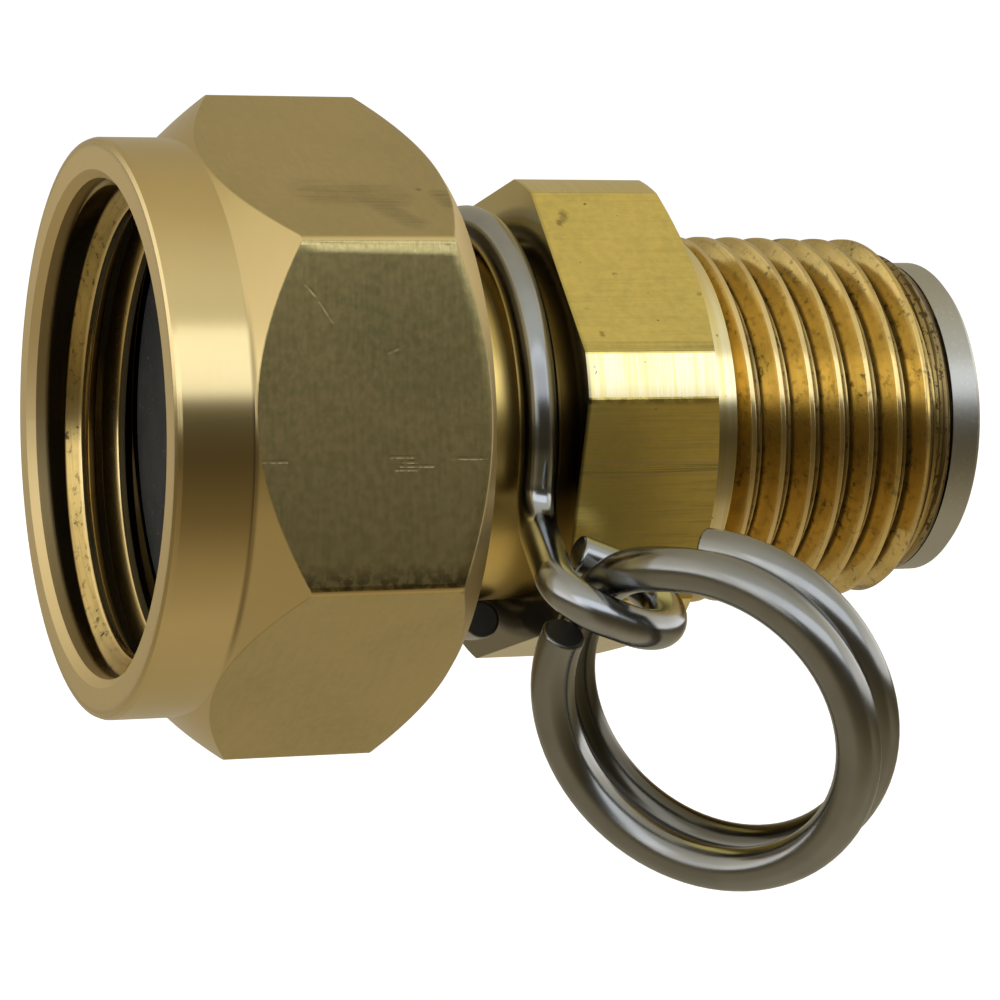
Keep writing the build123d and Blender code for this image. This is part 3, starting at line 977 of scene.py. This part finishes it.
class ADAPTER_OT_finish_nut(Step, bpy.types.Operator):
    """Give the swivel nut its satin turned brass"""

    bl_idname = "adapter.finish_nut"
    bl_label = "Finish Swivel Nut"

    def execute(self, context):
        dress("swivel_nut", nut_brass(context.scene.adapter.brass))
        return {"FINISHED"}


class ADAPTER_OT_cut_hose_thread(Step, bpy.types.Operator):
    """Cut the female hose thread into the swivel nut"""

    bl_idname = "adapter.cut_hose_thread"
    bl_label = "Cut Hose Thread"

    def execute(self, context):
        settings = context.scene.adapter
        sizes = settings.hose_thread
        root = mount_radius("hose_inlet")
        crest = root - sizes.depth
        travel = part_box("hose_washer")[0].x - sizes.lead
        cut_thread(
            "hose_thread",
            "nut",
            "nut_brass",
            sizes,
            start=sizes.lead,
            travel=travel,
            root_radius=root,
            end_radius=root,
            facing=INWARDS,
            root_lift=-0.02 * MM,
            edge_radius=0.12 * MM,
            rise=sizes.run_out,
            chamfer_start=NO_CHAMFER,
            chamfer_slope=0.0,
            last_place=travel - 0.05 * MM,
            dents=0.0,
            finish=thread_brass(
                "hose_thread_brass", settings.brass, root, crest, ridge_darkening=0.3, painted_flank_shade=0.75
            ),
        )
        return {"FINISHED"}


class ADAPTER_OT_finish_washer(Step, bpy.types.Operator):
    """Give the hose washer its speckled rubber"""

    bl_idname = "adapter.finish_washer"
    bl_label = "Finish Hose Washer"

    def execute(self, context):
        look = context.scene.adapter.rubber
        dress("hose_washer", rubber("washer_rubber", look.washer, look.speck))
        return {"FINISHED"}


class ADAPTER_OT_finish_stem(Step, bpy.types.Operator):
    """Give the inlet stem and its seal their brass and rubber"""

    bl_idname = "adapter.finish_stem"
    bl_label = "Finish Inlet Stem and Seal"

    def execute(self, context):
        settings = context.scene.adapter
        look = settings.rubber
        dress("inlet_stem", stem_brass(settings.brass))
        dress("stem_seal", rubber("seal_rubber", look.seal, look.speck))
        return {"FINISHED"}


class ADAPTER_OT_finish_body(Step, bpy.types.Operator):
    """Give the hex body its drawn and turned brass"""

    bl_idname = "adapter.finish_body"
    bl_label = "Finish Hex Body"

    def execute(self, context):
        dress("hex_body", body_brass(context.scene.adapter.brass))
        return {"FINISHED"}


class ADAPTER_OT_cut_outlet_thread(Step, bpy.types.Operator):
    """Cut the tapered pipe thread on the outlet"""

    bl_idname = "adapter.cut_outlet_thread"
    bl_label = "Cut Outlet Thread"

    def execute(self, context):
        settings = context.scene.adapter
        sizes = settings.outlet_thread
        mount = MOUNTS["outlet_thread"]
        shoulder = mount["pos_m"][0] + mount["dims"]["length_mm"] * MM / 2
        lead = 0.7 * MM
        start = shoulder - lead
        root = sizes.root_radius + sizes.taper * lead
        crest = root + sizes.depth
        cut_thread(
            "outlet_thread",
            "fitting",
            "body_brass",
            sizes,
            start=start,
            travel=sizes.travel,
            root_radius=root,
            end_radius=root - sizes.taper * sizes.travel,
            facing=OUTWARDS,
            root_lift=sizes.root_lift,
            edge_radius=0.05 * MM,
            rise=0.3 * MM,
            chamfer_start=sizes.chamfer_start + lead,
            chamfer_slope=sizes.chamfer_slope,
            last_place=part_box("hex_body")[1].x - start - 0.03 * MM,
            dents=0.02 * MM,
            finish=thread_brass(
                "outlet_thread_brass", settings.brass, root, crest, ridge_darkening=0.0, painted_flank_shade=0.1
            ),
        )
        return {"FINISHED"}


class ADAPTER_OT_finish_insert(Step, bpy.types.Operator):
    """Give the outlet insert its matte turned steel"""

    bl_idname = "adapter.finish_insert"
    bl_label = "Finish Outlet Insert"

    def execute(self, context):
        dress("outlet_insert", insert_steel(context.scene.adapter.steel))
        return {"FINISHED"}


class ADAPTER_OT_finish_wire_pieces(Step, bpy.types.Operator):
    """Give the hook and the split ring their polished spring wire"""

    bl_idname = "adapter.finish_wire_pieces"
    bl_label = "Finish Hook and Split Ring"

    def execute(self, context):
        steel = context.scene.adapter.steel
        for name, node, tint, roughness, painted_shade in (
            ("hook_steel", "hook_wire", steel.wire, steel.wire_roughness, hook_painted_shade),
            ("ring_steel", "split_ring", steel.ring, steel.ring_roughness, ring_painted_shade),
        ):
            dress(node, wire_steel(name, node, steel, tint, roughness, painted_shade))
        return {"FINISHED"}


class ADAPTER_OT_set_stage(Step, bpy.types.Operator):
    """Set up the pale floor, the soft light and the camera"""

    bl_idname = "adapter.set_stage"
    bl_label = "Set Up Stage"

    def execute(self, context):
        studio = context.scene.adapter.studio
        make_floor(studio)
        add_light(
            "key_softbox",
            rise=radians(28),
            distance=0.5,
            size=(0.9, 0.24),
            radiance=0.9,
            tint=(0.93, 1.0, 1.14),
        )
        make_world()
        make_camera(studio)
        context.scene.view_settings.view_transform = "Standard"
        return {"FINISHED"}


# ---- stage ----


FLOOR_REACH = 4.0
FLOOR_GLOW = 0.6


def make_floor(studio):
    """A wide pale floor that the object's gloss doesn't pick up: the world stands for it there."""
    low, reach = -studio.floor_depth, FLOOR_REACH
    corners = [(x * reach, y * reach, low) for x, y in ((-1, -1), (1, -1), (1, 1), (-1, 1))]
    mesh = bpy.data.meshes.new("floor")
    mesh.from_pydata(corners, [], [(0, 1, 2, 3)])
    mesh.materials.append(paper("floor_paper", studio.floor, FLOOR_GLOW))
    floor = put("floor", mesh)
    floor.visible_glossy = False


def add_light(name, rise, distance, size, radiance, tint):
    """A rectangular soft light on the camera's side, at an angle over the horizon."""
    width, height = size
    lamp = bpy.data.lights.new(name, "AREA")
    lamp.shape = "RECTANGLE"
    lamp.size = width
    lamp.size_y = height
    lamp.energy = radiance * pi * width * height
    lamp.color = tint
    light = put(name, lamp)
    light.location = (0.0, -distance * cos(rise), distance * sin(rise))
    light.rotation_euler = (-light.location).to_track_quat("-Z", "Y").to_euler()


# Light from the front over the top to the back: degrees over the front horizon, colour.
FRONT_LIGHT = (
    (-180, (0.42, 0.37, 0.27)),
    (-120, (0.48, 0.42, 0.29)),
    (-80, (0.54, 0.46, 0.31)),
    (-55, (0.38, 0.31, 0.19)),
    (-35, (0.19, 0.15, 0.08)),
    (-10, (0.09, 0.07, 0.035)),
    (12, (0.10, 0.09, 0.055)),
    (15, (0.82, 0.82, 0.80)),
    (60, (0.90, 0.88, 0.74)),
    (95, (0.69, 0.61, 0.44)),
    (135, (0.52, 0.46, 0.32)),
    (180, (0.42, 0.37, 0.27)),
)
# Light from both ends: height on the unit sphere, colour.
END_LIGHT = (
    (-1.0, (0.44, 0.38, 0.27)),
    (-0.4, (0.40, 0.33, 0.20)),
    (-0.12, (0.15, 0.12, 0.06)),
    (0.03, (0.12, 0.10, 0.06)),
    (0.05, (1.70, 1.66, 1.56)),
    (0.20, (1.60, 1.55, 1.44)),
    (0.45, (1.15, 1.08, 0.92)),
    (1.0, (0.80, 0.73, 0.54)),
)
# Where it takes over from the front light, at each end: x on the unit sphere.
HOSE_END = (-0.3, -0.7)
OUTLET_END = (0.65, 0.85)
BACKDROP = (1.0, 1.0, 1.0)
BACKDROP_STRENGTH = 1.05


def make_world():
    """Soft light from above and behind, dark under the horizon so the metals keep contrast."""
    world = bpy.data.worlds.new("studio")
    world.use_nodes = True
    world.node_tree.nodes.clear()
    nodes = Nodes(world.node_tree)
    x, y, z = nodes.split(nodes.add("ShaderNodeTexCoord", output="Generated"))
    turn = z.maths("ARCTAN2", z, 0.0 - y) / (2 * pi) + 0.5
    front = [(angle / 360 + 0.5, rgba(light)) for angle, light in FRONT_LIGHT]
    ends = [(height / 2 + 0.5, rgba(light)) for height, light in END_LIGHT]
    front = nodes.add("ShaderNodeValToRGB", {"stops": front}, {0: turn})
    ends = nodes.add("ShaderNodeValToRGB", {"stops": ends}, {0: z / 2 + 0.5})
    sideways = x.ease(*HOSE_END) + x.ease(*OUTLET_END)
    light = either(nodes, sideways, background(nodes, front), background(nodes, ends))
    seen = nodes.add("ShaderNodeLightPath", output="Is Camera Ray")
    backdrop = background(nodes, rgba(BACKDROP), BACKDROP_STRENGTH)
    nodes.add("ShaderNodeOutputWorld", None, {"Surface": either(nodes, seen, light, backdrop)})
    bpy.context.scene.world = world


def either(nodes, factor, first, second):
    """A mix of two shaders."""
    return nodes.add("ShaderNodeMixShader", None, {0: factor, 1: first, 2: second})


def background(nodes, light, strength=1.0):
    """The world's light of one colour."""
    return nodes.add("ShaderNodeBackground", None, {"Color": light, "Strength": strength})


def make_camera(studio):
    """A long lens that looks slightly down on the object from the front and left."""
    lens = bpy.data.cameras.new("camera")
    lens.lens = studio.lens
    lens.sensor_width = 36.0
    lens.clip_start = 0.01
    lens.clip_end = 20.0
    camera = put("camera", lens)
    azimuth, elevation = studio.azimuth, studio.elevation
    level = cos(elevation)
    back = Vector((sin(azimuth) * level, -cos(azimuth) * level, sin(elevation)))
    aim = (CAD_BOX[0] + CAD_BOX[1]) / 2 + Vector(studio.aim)
    camera.location = aim + back * studio.distance
    camera.rotation_euler = (-back).to_track_quat("-Z", "Y").to_euler()
    bpy.context.scene.camera = camera


# ---- add-on ----


OPERATORS = (
    ADAPTER_OT_set_stage,
    ADAPTER_OT_finish_nut,
    ADAPTER_OT_cut_hose_thread,
    ADAPTER_OT_finish_washer,
    ADAPTER_OT_finish_stem,
    ADAPTER_OT_finish_body,
    ADAPTER_OT_cut_outlet_thread,
    ADAPTER_OT_finish_insert,
    ADAPTER_OT_finish_wire_pieces,
)


class ADAPTER_PT_panel(bpy.types.Panel):
    """Sidebar panel that lists the steps in order"""

    bl_idname = "ADAPTER_PT_panel"
    bl_label = "Hose Adapter"
    bl_category = "Hose Adapter"
    bl_space_type = "VIEW_3D"
    bl_region_type = "UI"

    def draw(self, context):
        for operator in OPERATORS:
            self.layout.operator(operator.bl_idname)


CLASSES = (
    OutletThreadSizes,
    HoseThreadSizes,
    BrassLook,
    SteelLook,
    RubberLook,
    StudioSetup,
    AdapterSettings,
    *OPERATORS,
    ADAPTER_PT_panel,
)


def register():
    """Adds the classes and the scene's settings."""
    for item in CLASSES:
        bpy.utils.register_class(item)
    bpy.types.Scene.adapter = PointerProperty(
        type=AdapterSettings, name="Hose Adapter", description="Settings of the hose adapter"
    )


def unregister():
    """Takes them away again."""
    del bpy.types.Scene.adapter
    for item in reversed(CLASSES):
        bpy.utils.unregister_class(item)


def main():
    """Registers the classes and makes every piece."""
    register()
    for operator in OPERATORS:
        group, name = operator.bl_idname.split(".")
        getattr(getattr(bpy.ops, group), name)()


if __name__ == "__main__":
    main()
